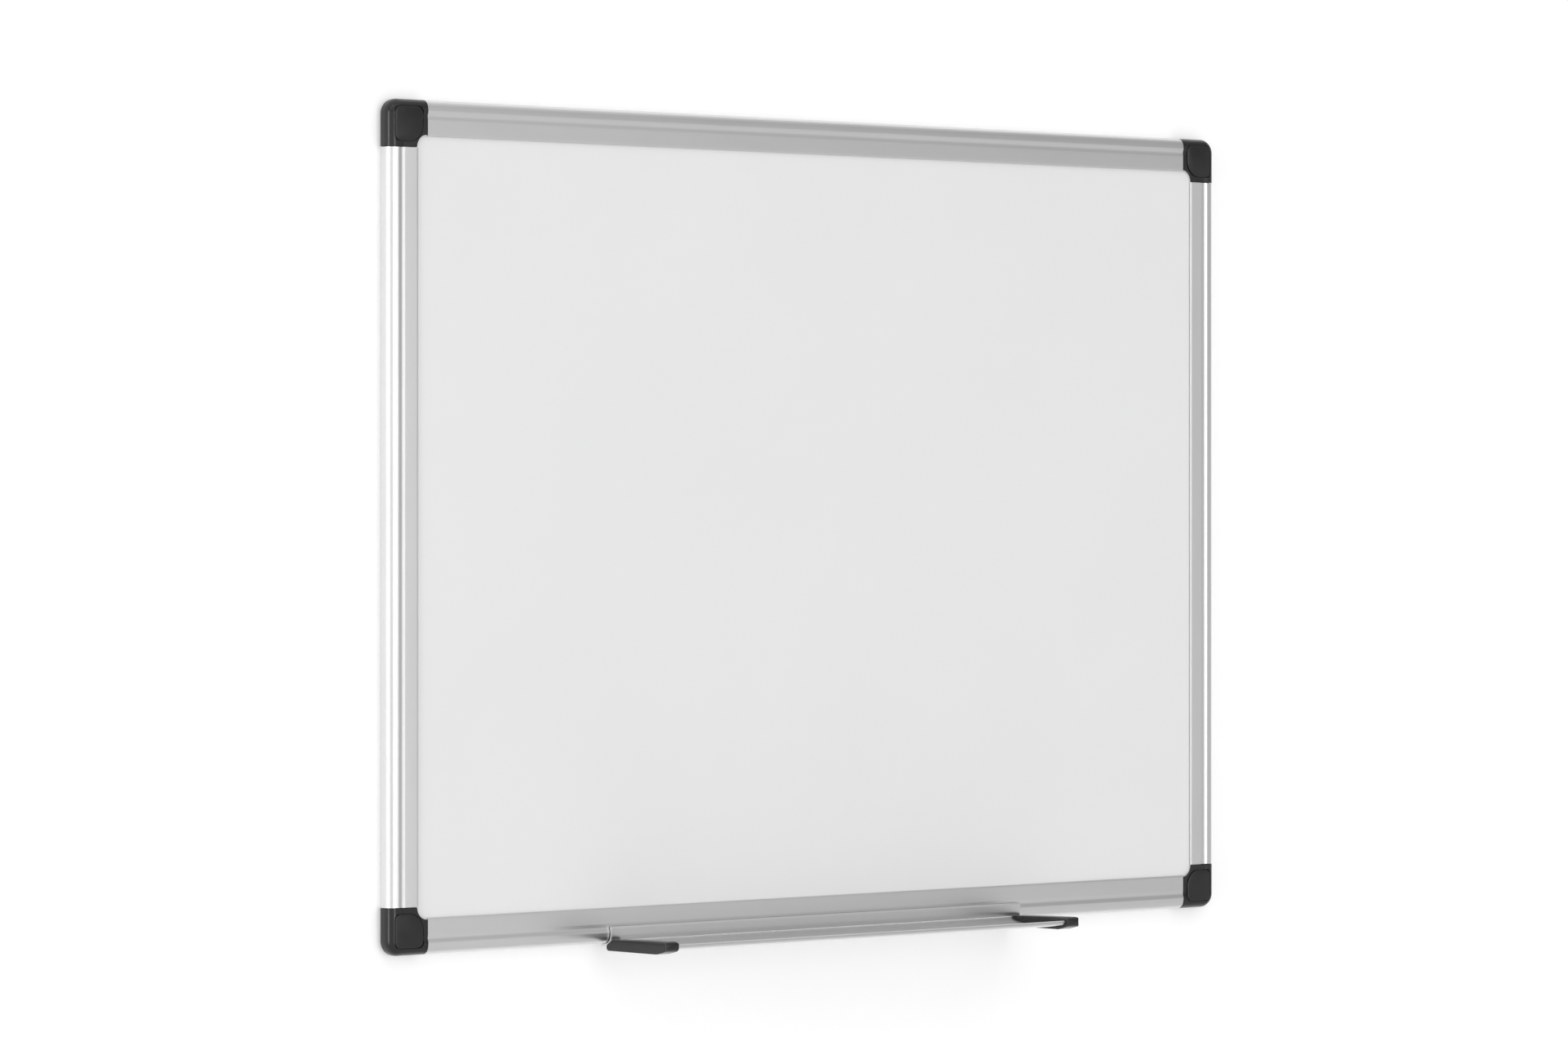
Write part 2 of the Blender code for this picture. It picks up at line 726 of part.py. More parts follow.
def make_tray_caps(collection, look):
    """Push-on end caps, each with a slot that takes the shelf's end."""
    front = tray_cap_front()
    tall = CREST_LEVEL + TRAY_CAP_FRONT_RISE + OVERRUN
    low = SHELF_LOW - CLEARANCE - TRAY_CAP_SOLE - OVERRUN
    inner = TRAY_CAP_OUTER - TRAY_CAP_WIDTH
    slot_end = TRAY_LENGTH / 2 + CLEARANCE
    section = axes_matrix(TRAY_AXES)
    for name, side in (("left", -1), ("right", 1)):
        ends = sorted((-side * inner, -side * TRAY_CAP_OUTER))
        cap = solid(f"tray_end_cap_{name}", [tray_cap_outline()], *ends, section)
        plan = rounded(
            [
                (side * inner, 0, 0),
                (side * inner, front, TRAY_CAP_INNER_RADIUS),
                (side * TRAY_CAP_OUTER, front, TRAY_CAP_PLAN_RADIUS),
                (side * TRAY_CAP_OUTER, 0, 0),
            ]
        )
        plan_solid = solid("plan", [plan], -tall, -low, axes_matrix(TRAY_PLAN_AXES))
        cap = boolean(cap, [plan_solid], "INTERSECT")
        slot_ends = sorted((-side * (inner - OVERRUN), -side * slot_end))
        slot = solid("slot", [shelf_outline(CLEARANCE)], *slot_ends, section)
        cap = boolean(cap, [slot], "DIFFERENCE")
        finish(cap, collection, look, Matrix.Translation(tray_place()))


def main():
    clear_scene()
    collection = new_collection("magnetic_whiteboard")
    looks = {
        "aluminium": material("anodised_aluminium", (0.62, 0.62, 0.63), 0.35, 1.0),
        "plastic": material("dark_grey_plastic", (0.045, 0.045, 0.043), 0.42, 0.0),
        "lacquer": material("white_lacquer", (0.82, 0.82, 0.83), 0.18, 0.0),
        "fibreboard": material("fibreboard", (0.45, 0.34, 0.22), 0.85, 0.0),
        "galvanised": material("galvanised_steel", (0.52, 0.54, 0.55), 0.45, 1.0),
        "zinc": material("zinc_plated_steel", (0.66, 0.66, 0.64), 0.30, 1.0),
    }
    make_panel(collection, looks)
    make_rails(collection, looks["aluminium"])
    make_corner_caps(collection, looks["plastic"])
    make_screw_covers(collection, looks["plastic"])
    make_wall_screws(collection, looks["zinc"])
    make_pen_tray(collection, looks["aluminium"])
    make_tray_caps(collection, looks["plastic"])


main()
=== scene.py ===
"""The looks of a framed magnetic whiteboard that hangs on a wall.

Metres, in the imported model's frame: the origin is the centre of the board on the wall plane,
+X runs to the right, +Z up, and the writing surface faces -Y. The rail's section is drawn in A
and D, and the tray's in D and H: A runs inward from the frame's outer edge, D off the wall, and
H up from the frame's lower edge.
"""

import math

import bmesh
import bpy
from mathutils import Matrix, Vector


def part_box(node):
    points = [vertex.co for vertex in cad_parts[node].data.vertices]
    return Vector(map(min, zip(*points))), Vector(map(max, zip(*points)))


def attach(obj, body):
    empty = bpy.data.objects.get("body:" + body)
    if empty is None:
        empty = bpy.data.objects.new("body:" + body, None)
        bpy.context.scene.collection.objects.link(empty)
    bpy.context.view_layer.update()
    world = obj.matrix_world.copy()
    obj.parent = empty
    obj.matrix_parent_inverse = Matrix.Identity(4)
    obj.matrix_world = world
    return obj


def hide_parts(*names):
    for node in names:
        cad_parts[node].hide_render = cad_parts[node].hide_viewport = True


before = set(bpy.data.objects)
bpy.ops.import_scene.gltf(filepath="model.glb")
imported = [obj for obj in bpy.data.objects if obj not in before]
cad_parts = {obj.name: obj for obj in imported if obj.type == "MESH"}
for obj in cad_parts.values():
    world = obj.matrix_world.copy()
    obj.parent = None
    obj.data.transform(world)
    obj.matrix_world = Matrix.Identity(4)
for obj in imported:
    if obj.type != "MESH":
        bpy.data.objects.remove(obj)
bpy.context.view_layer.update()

# The board's size, from the frame
FRAME_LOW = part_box("corner_cap_bottom_left")[0]
FRAME_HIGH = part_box("corner_cap_top_right")[1]
BOARD_WIDTH = FRAME_HIGH.x - FRAME_LOW.x
BOARD_HEIGHT = FRAME_HIGH.z - FRAME_LOW.z
TRAY_LOW, TRAY_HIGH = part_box("pen_tray")
TRAY_LENGTH = TRAY_HIGH.x - TRAY_LOW.x
TRAY_REST_X = (TRAY_LOW.x + TRAY_HIGH.x) / 2
TRAY_PLACE = (TRAY_REST_X, 0, -BOARD_HEIGHT / 2)

# Gaps, overruns and steps that the shapes share
CLEARANCE = 0.0003
OVERRUN = 0.002
WELD = 0.000001
FLAT_ANGLE = math.radians(0.1)
ARC_STEPS = 20
EASE_STEPS = 4
BORE_SIDES = 64

# Angles above which an edge is eased, or shaded as a sharp one
RIM_ANGLE = math.radians(45)
SOFTEN_ANGLE = math.radians(50)
RAIL_SOFTEN_ANGLE = math.radians(75)
SHARP_ANGLE = math.radians(35)
SOFTEN_SEGMENTS = 2

# Frame rail section
RAIL_WALL = 0.0011
RAIL_DEPTH = 0.0100
CHANNEL_DEPTH = 0.0084
BEAD_FRONT_RADIUS = 0.0048
BEAD_BACK_RADIUS = 0.0030
CREST_RISE = 0.0008
CREST_WIDTH = 0.0015
CREST_EASE = 0.0030
GROOVE_DEPTH = 0.00075
GROOVE_OUTER_WIDTH = 0.0021
GROOVE_INNER_WIDTH = 0.00225
GROOVE_EASE = 0.0030
FLANGE_WIDTH = 0.00745
FLANGE_DROP = 0.0005
SLOPE_WIDTH = 0.0012
SLOPE_DROP = 0.00008
CHAMBER_WIDTH = 0.0074
BACK_FLANGE_WIDTH = 0.0074
CREASE_EASE = 0.00025
EDGE_EASE = 0.00035

# Corner cap
CAP_LEG = 0.0252
CAP_SETBACK = 0.0008
CAP_CORNER_EASE = 0.0032
CAP_FLOOR = 0.0005
POST_WALL = 0.0008
TONGUE_LENGTH = 0.020
CAP_EDGE_EASE = 0.00022

# Snap cover over the wall screw
COVER_MARGIN = 0.0041
COVER_SIDE = 0.0180
COVER_THICKNESS = 0.0010
COVER_GAP = 0.0005
COVER_RADIUS = 0.0030
COVER_INNER_RADIUS = 0.0090
COVER_EDGE_RADIUS = 0.0006
PIN_RADIUS = 0.0010
PIN_LENGTH = 0.0032
PIN_CORNER_INSET = 0.0059
PIN_LEG_INSET = 0.0063
PIN_LEG_REACH = 0.0188

# Wall screw
SCREW_INSET = 0.0105
SEAT_THICKNESS = 0.0045
HEAD_RADIUS = 0.0042
HEAD_HEIGHT = 0.0026
HEAD_PLAY = 0.0006
SHANK_RADIUS = 0.0017
THREAD_HEIGHT = 0.0004
THREAD_PITCH = 0.0022
THREAD_COUNT = 10
THREAD_ROOT_SHARE = 0.42
THREAD_SINK = 0.0002
THREAD_STEPS = BORE_SIDES // 2
SHANK_CLEAR_LENGTH = 0.0050
POINT_LENGTH = 0.0040
DRIVE_LENGTH = 0.0044
DRIVE_WIDTH = 0.0010
DRIVE_DEPTH = 0.0014

# Pen tray section
CLIP_WALL = 0.0012
CLIP_NOSE = 0.0009
CLIP_TIP_GAP = 0.0004
CLIP_TOP = 0.0092
HOOK_TURN = math.radians(12)
SHELF_ANGLE = math.radians(-40)
SHELF_WALL = 0.0013
SHELF_SPAN = 0.0469
SHELF_SAG = 0.00335
LIP_RADIUS = 0.0012

# Pen tray end cap
TRAY_CAP_WIDTH = 0.0090
TRAY_CAP_WALL = 0.0012
TRAY_CAP_SOLE = 0.0006
TRAY_CAP_NOSE = 0.0021
TRAY_CAP_BACK_GAP = 0.0020
TRAY_CAP_BACK_RISE = 0.0005
TRAY_CAP_FRONT_RISE = 0.0020
TRAY_CAP_CHIN = 0.0052
TRAY_CAP_RAKE = 0.0084
TRAY_CAP_HEEL_REACH = 0.0011
TRAY_CAP_SOLE_RISE = 0.0004
TRAY_CAP_TOP_RADIUS = 0.0024
TRAY_CAP_CHIN_RADIUS = 0.0034
TRAY_CAP_SOLE_RADIUS = 0.0040
TRAY_CAP_HEEL_RADIUS = 0.0019
TRAY_CAP_PLAN_RADIUS = 0.0022
TRAY_CAP_INNER_RADIUS = 0.0006
TRAY_CAP_SIDE_RADIUS = 0.0024
TRAY_CAP_EDGE_EASE = 0.0007

# Sizes that follow from those above
FLANGE_LEVEL = RAIL_DEPTH - FLANGE_DROP
CREST_END = BEAD_FRONT_RADIUS + CREST_WIDTH
GROOVE_CENTRE = CREST_END + GROOVE_OUTER_WIDTH
JUNCTION = GROOVE_CENTRE + GROOVE_INNER_WIDTH
RAIL_FACE = JUNCTION + FLANGE_WIDTH + SLOPE_WIDTH
CHAMBER_DEPTH = RAIL_DEPTH - GROOVE_DEPTH - RAIL_WALL * 2
WEB_FACE = CHAMBER_WIDTH + RAIL_WALL * 2
CAP_INNER = RAIL_FACE - CAP_SETBACK
CAP_CORNER_RADIUS = BEAD_FRONT_RADIUS + CAP_CORNER_EASE
HEAD_BORE_RADIUS = HEAD_RADIUS + HEAD_PLAY
SHANK_BORE_RADIUS = SHANK_RADIUS + THREAD_HEIGHT + CLEARANCE
POST_SIDE = SCREW_INSET + HEAD_BORE_RADIUS + POST_WALL
RECESS_FLOOR = CHANNEL_DEPTH + CAP_FLOOR
COVER_BACK = RECESS_FLOOR + CLEARANCE
CLIP_CENTRE = (RAIL_DEPTH - BEAD_FRONT_RADIUS, BEAD_FRONT_RADIUS)
CLIP_INNER = BEAD_FRONT_RADIUS + CLEARANCE
CLIP_OUTER = CLIP_INNER + CLIP_WALL
SHELF_START = (
    CLIP_CENTRE[0] + (CLIP_INNER + CLIP_WALL / 2) * math.cos(SHELF_ANGLE),
    CLIP_CENTRE[1] + (CLIP_INNER + CLIP_WALL / 2) * math.sin(SHELF_ANGLE),
)
CREST_LEVEL = SHELF_START[1] + SHELF_WALL / 2
SHELF_LOW = CREST_LEVEL - SHELF_SAG - SHELF_WALL
TRAY_CAP_OUTER = TRAY_LENGTH / 2 + CLEARANCE + TRAY_CAP_WALL
TRAY_CAP_INNER = TRAY_CAP_OUTER - TRAY_CAP_WIDTH
TRAY_CAP_FRONT = SHELF_START[0] + SHELF_SPAN + LIP_RADIUS + CLEARANCE + TRAY_CAP_NOSE
TRAY_CAP_HIGH = CREST_LEVEL + TRAY_CAP_FRONT_RISE
TRAY_CAP_LOW = SHELF_LOW - CLEARANCE - TRAY_CAP_SOLE

# Each corner: its name, which way it lies along X and Z, and its quarter turns about Y
CORNERS = (
    ("bottom_left", -1, -1, 0),
    ("top_left", -1, 1, 1),
    ("top_right", 1, 1, 2),
    ("bottom_right", 1, -1, 3),
)
# Each rail: its name, which way it lies along X and Z, and its quarter turns about Y
RAILS = (
    ("bottom", 0, -1, 0),
    ("left", -1, 0, 1),
    ("top", 0, 1, 2),
    ("right", 1, 0, 3),
)

# Local axes as world directions: plan drawings, rail sections, tray sections, tray plans
PLAN_AXES = ((1, 0, 0), (0, 0, 1), (0, -1, 0))
RAIL_AXES = ((0, 0, 1), (0, -1, 0), (1, 0, 0))
TRAY_AXES = ((0, -1, 0), (0, 0, 1), (-1, 0, 0))
TRAY_PLAN_AXES = ((1, 0, 0), (0, -1, 0), (0, 0, -1))

# The camera, fitted to the photograph's straight edges
PHOTO_WIDTH_PX = 1920
PHOTO_HEIGHT_PX = 1281
HORIZON_PX = 600
CAMERA_PLACE = (-2.185, -2.576, 0.0196)
CAMERA_TURN = math.radians(-40.02)
CAMERA_LENS_MM = 139.4
SENSOR_MM = 36

# The studio
WALL_SIZE = 3.2
WALL_GAP = 0.0002
FLOOR_SIZE = 60.0
FLOOR_LEVEL = -1.2
WALL_GLOW = 0.29
FLOOR_GLOW = 0.26
STAGE_COLOUR = (0.8, 0.8, 0.8, 1)
CAMERA_RAYS = ("Is Camera Ray",)
SEEN_RAYS = ("Is Camera Ray", "Is Glossy Ray", "Is Transmission Ray")
# The world's strength along X and its share along Z: from, to, and the two values there
LIGHT_ACROSS = (0.46, 0.68, 1.40, 0.66)
LIGHT_UP = (-0.18, 0.20, 1.20, 0.50)
# Each lamp: its name, turn to the right and rise in degrees, width in degrees and strength
LAMPS = (
    ("key softbox", -35, 42, 40, 0.18),
    ("top softbox", 20, 76, 80, 0.25),
)
# Each strip lamp: its name, turn to the right, distance, width, height and power in watts
STRIPS = (
    ("left strip", math.radians(-72), 4.0, 0.70, 3.0, 34.0),
    ("front strip", math.radians(3), 4.0, 0.70, 3.0, 28.0),
)

# The middle values of a noise, which a grain's two ends are matched to
GRAIN_FROM = 0.3
GRAIN_TO = 0.7


def axes_matrix(axes, place=(0, 0, 0)):
    """A matrix whose columns are three world directions, at a place."""
    columns = [Vector(axis) for axis in axes]
    return Matrix.Translation(place) @ Matrix(columns).transposed().to_4x4()


def edge_placement(along_x, along_z, turns, axes):
    """Where a piece lies that is drawn for the lower edge and turned to its own."""
    place = (along_x * BOARD_WIDTH / 2, 0, along_z * BOARD_HEIGHT / 2)
    turn = Matrix.Rotation(turns * math.pi / 2, 4, "Y")
    return Matrix.Translation(place) @ turn @ axes_matrix(axes)


def arc(centre, radius, start, end, steps=ARC_STEPS):
    """Points along an arc from one angle to another."""
    angles = [start + (end - start) * i / steps for i in range(steps + 1)]
    return [
        (centre[0] + radius * math.cos(a), centre[1] + radius * math.sin(a))
        for a in angles
    ]


def rounded(corners):
    """A closed outline through corners (u, v, radius), each eased by its own radius."""
    points = []
    for i, (u, v, radius) in enumerate(corners):
        here = Vector((u, v))
        if not radius:
            points.append((u, v))
            continue
        back = (Vector(corners[i - 1][:2]) - here).normalized()
        ahead = (Vector(corners[(i + 1) % len(corners)][:2]) - here).normalized()
        half = back.angle(ahead) / 2
        centre = here + (back + ahead).normalized() * radius / math.sin(half)
        first = here + back * radius / math.tan(half) - centre
        last = here + ahead * radius / math.tan(half) - centre
        start = math.atan2(first.y, first.x)
        turn = (math.atan2(last.y, last.x) - start + math.pi) % math.tau - math.pi
        steps = ARC_STEPS if radius > EDGE_EASE else EASE_STEPS
        points += arc(centre, radius, start, start + turn, steps)
    return points


def linked(name, data):
    """A new object for a mesh or a curve, in the scene."""
    result = bpy.data.objects.new(name, data)
    bpy.context.scene.collection.objects.link(result)
    return result


def evaluated_mesh(source):
    """An object's mesh with its modifiers applied."""
    depsgraph = bpy.context.evaluated_depsgraph_get()
    return bpy.data.meshes.new_from_object(source.evaluated_get(depsgraph))


def remove(*objects):
    for item in objects:
        bpy.data.objects.remove(item, do_unlink=True)


def with_bmesh(mesh, change):
    """Runs a change on a mesh."""
    bm = bmesh.new()
    bm.from_mesh(mesh)
    change(bm)
    bm.to_mesh(mesh)
    bm.free()


def join_flat_faces(bm):
    bmesh.ops.dissolve_limit(
        bm, angle_limit=FLAT_ANGLE, verts=bm.verts, edges=bm.edges
    )


def solid(name, outlines, start, end, placement=None):
    """An object made by filling outlines in the local XY plane, extruded along Z."""
    curve = bpy.data.curves.new(name, "CURVE")
    curve.dimensions = "2D"
    curve.fill_mode = "BOTH"
    curve.extrude = (end - start) / 2
    for outline in outlines:
        spline = curve.splines.new("POLY")
        spline.points.add(len(outline) - 1)
        for point, (u, v) in zip(spline.points, outline):
            point.co = (u, v, 0, 1)
        spline.use_cyclic_u = True
    drawing = linked(name, curve)
    mesh = evaluated_mesh(drawing)
    remove(drawing)
    with_bmesh(mesh, lambda bm: bmesh.ops.remove_doubles(bm, verts=bm.verts, dist=WELD))
    if len(outlines) == 1:
        with_bmesh(mesh, join_flat_faces)
    shift = Matrix.Translation((0, 0, (start + end) / 2))
    mesh.transform((placement or Matrix()) @ shift)
    return linked(name, mesh)


def boolean(target, others, operation):
    """Cuts, joins or trims the target by each of the others, which are used up."""
    for other in others:
        modifier = target.modifiers.new(operation.title(), "BOOLEAN")
        modifier.operation = operation
        modifier.solver = "EXACT"
        modifier.object = other
    mesh = evaluated_mesh(target)
    target.modifiers.clear()
    target.data = mesh
    remove(*others)
    return target


def rounded_rim(target, on_rim, radius, segments):
    """Eases the sharp edges whose two ends both lie on the rim."""

    def change(bm):
        bm.normal_update()
        sharp = [
            edge
            for edge in bm.edges
            if all(on_rim(vertex.co) for vertex in edge.verts)
            and edge.calc_face_angle(0) > RIM_ANGLE
        ]
        bmesh.ops.bevel(
            bm,
            geom=sharp,
            offset=radius,
            segments=segments,
            profile=0.5,
            affect="EDGES",
            clamp_overlap=True,
        )

    with_bmesh(target.data, change)


def cylinder(name, radius, start, end, centre):
    """A round bar along the local Z axis."""
    mesh = bpy.data.meshes.new(name)
    place = Matrix.Translation((centre[0], centre[1], (start + end) / 2))

    def change(bm):
        bmesh.ops.create_cone(
            bm,
            cap_ends=True,
            segments=BORE_SIDES,
            radius1=radius,
            radius2=radius,
            depth=end - start,
            matrix=place,
        )

    with_bmesh(mesh, change)
    return linked(name, mesh)


def box(name, low, high):
    mesh = bpy.data.meshes.new(name)
    middle = [(a + b) / 2 for a, b in zip(low, high)]
    size = [b - a for a, b in zip(low, high)]
    place = Matrix.Translation(middle) @ Matrix.Diagonal((*size, 1))
    with_bmesh(mesh, lambda bm: bmesh.ops.create_cube(bm, size=1, matrix=place))
    return linked(name, mesh)


def shade(item):
    """Shades a piece smooth, but for its sharp edges."""
    item.data.shade_smooth()
    item.data.set_sharp_from_angle(angle=SHARP_ANGLE)


def soften(item, width, angle=SOFTEN_ANGLE):
    """Breaks a piece's sharp edges and shades the rest smooth."""
    bevel = item.modifiers.new("Broken edges", "BEVEL")
    bevel.width = width
    bevel.segments = SOFTEN_SEGMENTS
    bevel.limit_method = "ANGLE"
    bevel.angle_limit = angle
    bevel.harden_normals = True
    shade(item)


def paint(item, look):
    """Gives a piece, or a CAD node that is carried over, its finish."""
    item.data.materials.clear()
    item.data.materials.append(look)


def dress(piece, body, node, look, placement):
    """Puts a piece in place of its node, on its body, with its finish."""
    paint(piece, look)
    piece.matrix_world = placement
    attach(piece, body)
    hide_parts(node)


def chamber_outline(inset=0):
    """The rail's hollow chamber, or what slides into it with an inset all round."""
    low = RAIL_WALL + inset
    high_a = RAIL_WALL + CHAMBER_WIDTH - inset
    high_d = RAIL_WALL + CHAMBER_DEPTH - inset
    back_radius = max(BEAD_BACK_RADIUS - RAIL_WALL - inset, 0)
    front_radius = max(BEAD_FRONT_RADIUS - RAIL_WALL - GROOVE_DEPTH - inset, 0)
    return rounded(
        [
            (low, low, back_radius),
            (high_a, low, CREASE_EASE),
            (high_a, high_d, CREASE_EASE),
            (low, high_d, front_radius),
        ]
    )


def rail_outline():
    """The rail's outside: bead, groove, flange, slope and the panel's channel."""
    return rounded(
        [
            (0, 0, BEAD_BACK_RADIUS),
            (0, RAIL_DEPTH - CREST_RISE, BEAD_FRONT_RADIUS),
            (CREST_END, RAIL_DEPTH, CREST_EASE),
            (GROOVE_CENTRE, RAIL_DEPTH - GROOVE_DEPTH, GROOVE_EASE),
            (JUNCTION, FLANGE_LEVEL, CREASE_EASE),
            (RAIL_FACE - SLOPE_WIDTH, FLANGE_LEVEL, EDGE_EASE),
            (RAIL_FACE, FLANGE_LEVEL - SLOPE_DROP, CREASE_EASE),
            (RAIL_FACE, CHANNEL_DEPTH, CREASE_EASE),
            (WEB_FACE, CHANNEL_DEPTH, CREASE_EASE),
            (WEB_FACE, RAIL_WALL, CREASE_EASE),
            (WEB_FACE + BACK_FLANGE_WIDTH, RAIL_WALL, EDGE_EASE),
            (WEB_FACE + BACK_FLANGE_WIDTH, 0, EDGE_EASE),
        ]
    )


def make_rails(look):
    """Four extrusions between the corner caps."""
    for name, along_x, along_z, turns in RAILS:
        run = BOARD_WIDTH if along_x == 0 else BOARD_HEIGHT
        half = run / 2 - CAP_LEG - CLEARANCE
        rail = solid(f"{name}_rail", [rail_outline(), chamber_outline()], -half, half)
        soften(rail, CREASE_EASE / 2, RAIL_SOFTEN_ANGLE)
        placement = edge_placement(along_x, along_z, turns, RAIL_AXES)
        node = f"frame_rail_{name}"
        dress(rail, "board", node, look, placement)


def cap_outline():
    """Two legs, a rounded outer corner and a hollow quarter round at the inner one."""
    corner = (CAP_CORNER_RADIUS, CAP_CORNER_RADIUS)
    outer = arc(corner, CAP_CORNER_RADIUS, math.pi, math.pi * 3 / 2)
    hollow = arc((CAP_LEG, CAP_LEG), CAP_LEG - CAP_INNER, -math.pi / 2, -math.pi)
    return outer + [(CAP_LEG, 0)] + hollow + [(0, CAP_LEG)]


def cap_body():
    body = solid("cap_body", [cap_outline()], 0, RAIL_DEPTH)

    def outside(point):
        in_corner = max(point.x, point.y) < CAP_CORNER_RADIUS
        return min(point.x, point.y) < WELD or in_corner

    def front(point):
        return outside(point) and point.z > RAIL_DEPTH / 2

    def back(point):
        return outside(point) and point.z < RAIL_DEPTH / 2

    rounded_rim(body, front, BEAD_FRONT_RADIUS, ARC_STEPS)
    rounded_rim(body, back, BEAD_BACK_RADIUS, ARC_STEPS // 2)
    return body


def leg_axes():
    """Placements of a rail section drawn across each of the cap's legs."""
    along_u = axes_matrix(((0, 1, 0), (0, 0, 1), (1, 0, 0)))
    along_v = axes_matrix(((1, 0, 0), (0, 0, 1), (0, -1, 0)))
    return along_u, along_v


def cap_tongues():
    """A tongue along each leg, which slides into the rail's chamber."""
    start = CAP_LEG - OVERRUN
    end = CAP_LEG + TONGUE_LENGTH
    outline = [chamber_outline(CLEARANCE)]
    along_u, along_v = leg_axes()
    return [
        solid("tongue_u", outline, start, end, along_u),
        solid("tongue_v", outline, -end, -start, along_v),
    ]


def panel_pocket():
    """The room for the panel's notched corner behind the cap's face."""
    far = CAP_LEG + OVERRUN
    outline = [
        (WEB_FACE, far),
        (WEB_FACE, POST_SIDE),
        (POST_SIDE, POST_SIDE),
        (POST_SIDE, WEB_FACE),
        (far, WEB_FACE),
        (far, far),
    ]
    return solid("panel_pocket", [outline], RAIL_WALL, CHANNEL_DEPTH)


def groove_cutters():
    """The rail's groove and its step down to the flange, carried over each leg."""
    top = RAIL_DEPTH + OVERRUN
    outline = [
        (CREST_END, RAIL_DEPTH),
        (CREST_END, top),
        (CAP_LEG + OVERRUN, top),
        (CAP_LEG + OVERRUN, FLANGE_LEVEL),
        (JUNCTION, FLANGE_LEVEL),
        (GROOVE_CENTRE, RAIL_DEPTH - GROOVE_DEPTH),
    ]
    start = COVER_MARGIN + COVER_SIDE
    end = CAP_LEG + OVERRUN
    along_u, along_v = leg_axes()
    return [
        solid("groove_u", [outline], start, end, along_u),
        solid("groove_v", [outline], -end, -start, along_v),
        box("flange_step", (JUNCTION, JUNCTION, FLANGE_LEVEL), (end, end, top)),
    ]


def cover_outline(grow=0):
    """The snap cover, or its recess with a gap all round."""
    low = COVER_MARGIN - grow
    high = COVER_MARGIN + COVER_SIDE + grow
    return rounded(
        [
            (low, low, COVER_RADIUS + grow),
            (high, low, COVER_RADIUS + grow),
            (high, high, COVER_INNER_RADIUS + grow),
            (low, high, COVER_RADIUS + grow),
        ]
    )


def pin_places():
    return (
        (PIN_CORNER_INSET, PIN_CORNER_INSET),
        (PIN_LEG_REACH, PIN_LEG_INSET),
        (PIN_LEG_INSET, PIN_LEG_REACH),
    )


def cover_recess():
    """The recess for the snap cover, the holes for its pins and those for the screw."""
    top = RAIL_DEPTH + OVERRUN
    centre = (SCREW_INSET, SCREW_INSET)
    pin_floor = COVER_BACK - PIN_LENGTH - CLEARANCE
    recess = solid("recess", [cover_outline(COVER_GAP)], RECESS_FLOOR, top)
    holes = [
        cylinder("head_bore", HEAD_BORE_RADIUS, SEAT_THICKNESS, top, centre),
        cylinder("shank_bore", SHANK_BORE_RADIUS, -OVERRUN, top, centre),
    ]
    for place in pin_places():
        holes.append(cylinder("pin_hole", PIN_RADIUS + CLEARANCE, pin_floor, top, place))
    return [recess] + holes


def corner_cap():
    cap = boolean(cap_body(), [panel_pocket()], "DIFFERENCE")
    cap = boolean(cap, groove_cutters(), "DIFFERENCE")
    cap = boolean(cap, cover_recess(), "DIFFERENCE")
    cap = boolean(cap, cap_tongues(), "UNION")
    soften(cap, CAP_EDGE_EASE)
    return cap


def screw_cover():
    """A snap cover with three pins on its back."""
    front = COVER_BACK + COVER_THICKNESS
    cover = solid("cover", [cover_outline()], COVER_BACK, front)
    rounded_rim(cover, lambda point: point.z > front - WELD, COVER_EDGE_RADIUS, EASE_STEPS)
    middle = COVER_BACK + COVER_THICKNESS / 2
    pins = [
        cylinder("pin", PIN_RADIUS, COVER_BACK - PIN_LENGTH, middle, place)
        for place in pin_places()
    ]
    cover = boolean(cover, pins, "UNION")
    soften(cover, CAP_EDGE_EASE)
    return cover


def screw_profile():
    """Half the screw's section, from the top of its domed head to its point."""
    seat = SEAT_THICKNESS + CLEARANCE
    top = seat + HEAD_HEIGHT
    rim = seat + HEAD_HEIGHT / 2
    angles = [math.pi / 2 * i / ARC_STEPS for i in range(ARC_STEPS + 1)]
    dome = [(HEAD_RADIUS * math.sin(a), rim + (top - rim) * math.cos(a)) for a in angles]
    end = seat - SHANK_CLEAR_LENGTH - THREAD_PITCH * THREAD_COUNT
    shank = [(HEAD_RADIUS, seat), (SHANK_RADIUS, seat), (SHANK_RADIUS, end)]
    return dome + shank + [(0, end - POINT_LENGTH)]


def turned(name, profile):
    """A closed body turned about Z from half its section."""
    mesh = bpy.data.meshes.new(name)
    links = [(i, i + 1) for i in range(len(profile) - 1)]
    mesh.from_pydata([(r, 0, z) for r, z in profile], links, [])
    item = linked(name, mesh)
    spin = item.modifiers.new("Turned", "SCREW")
    spin.steps = BORE_SIDES
    spin.render_steps = BORE_SIDES
    spin.use_merge_vertices = True
    spin.merge_threshold = WELD
    item.data = evaluated_mesh(item)
    item.modifiers.clear()
    return item


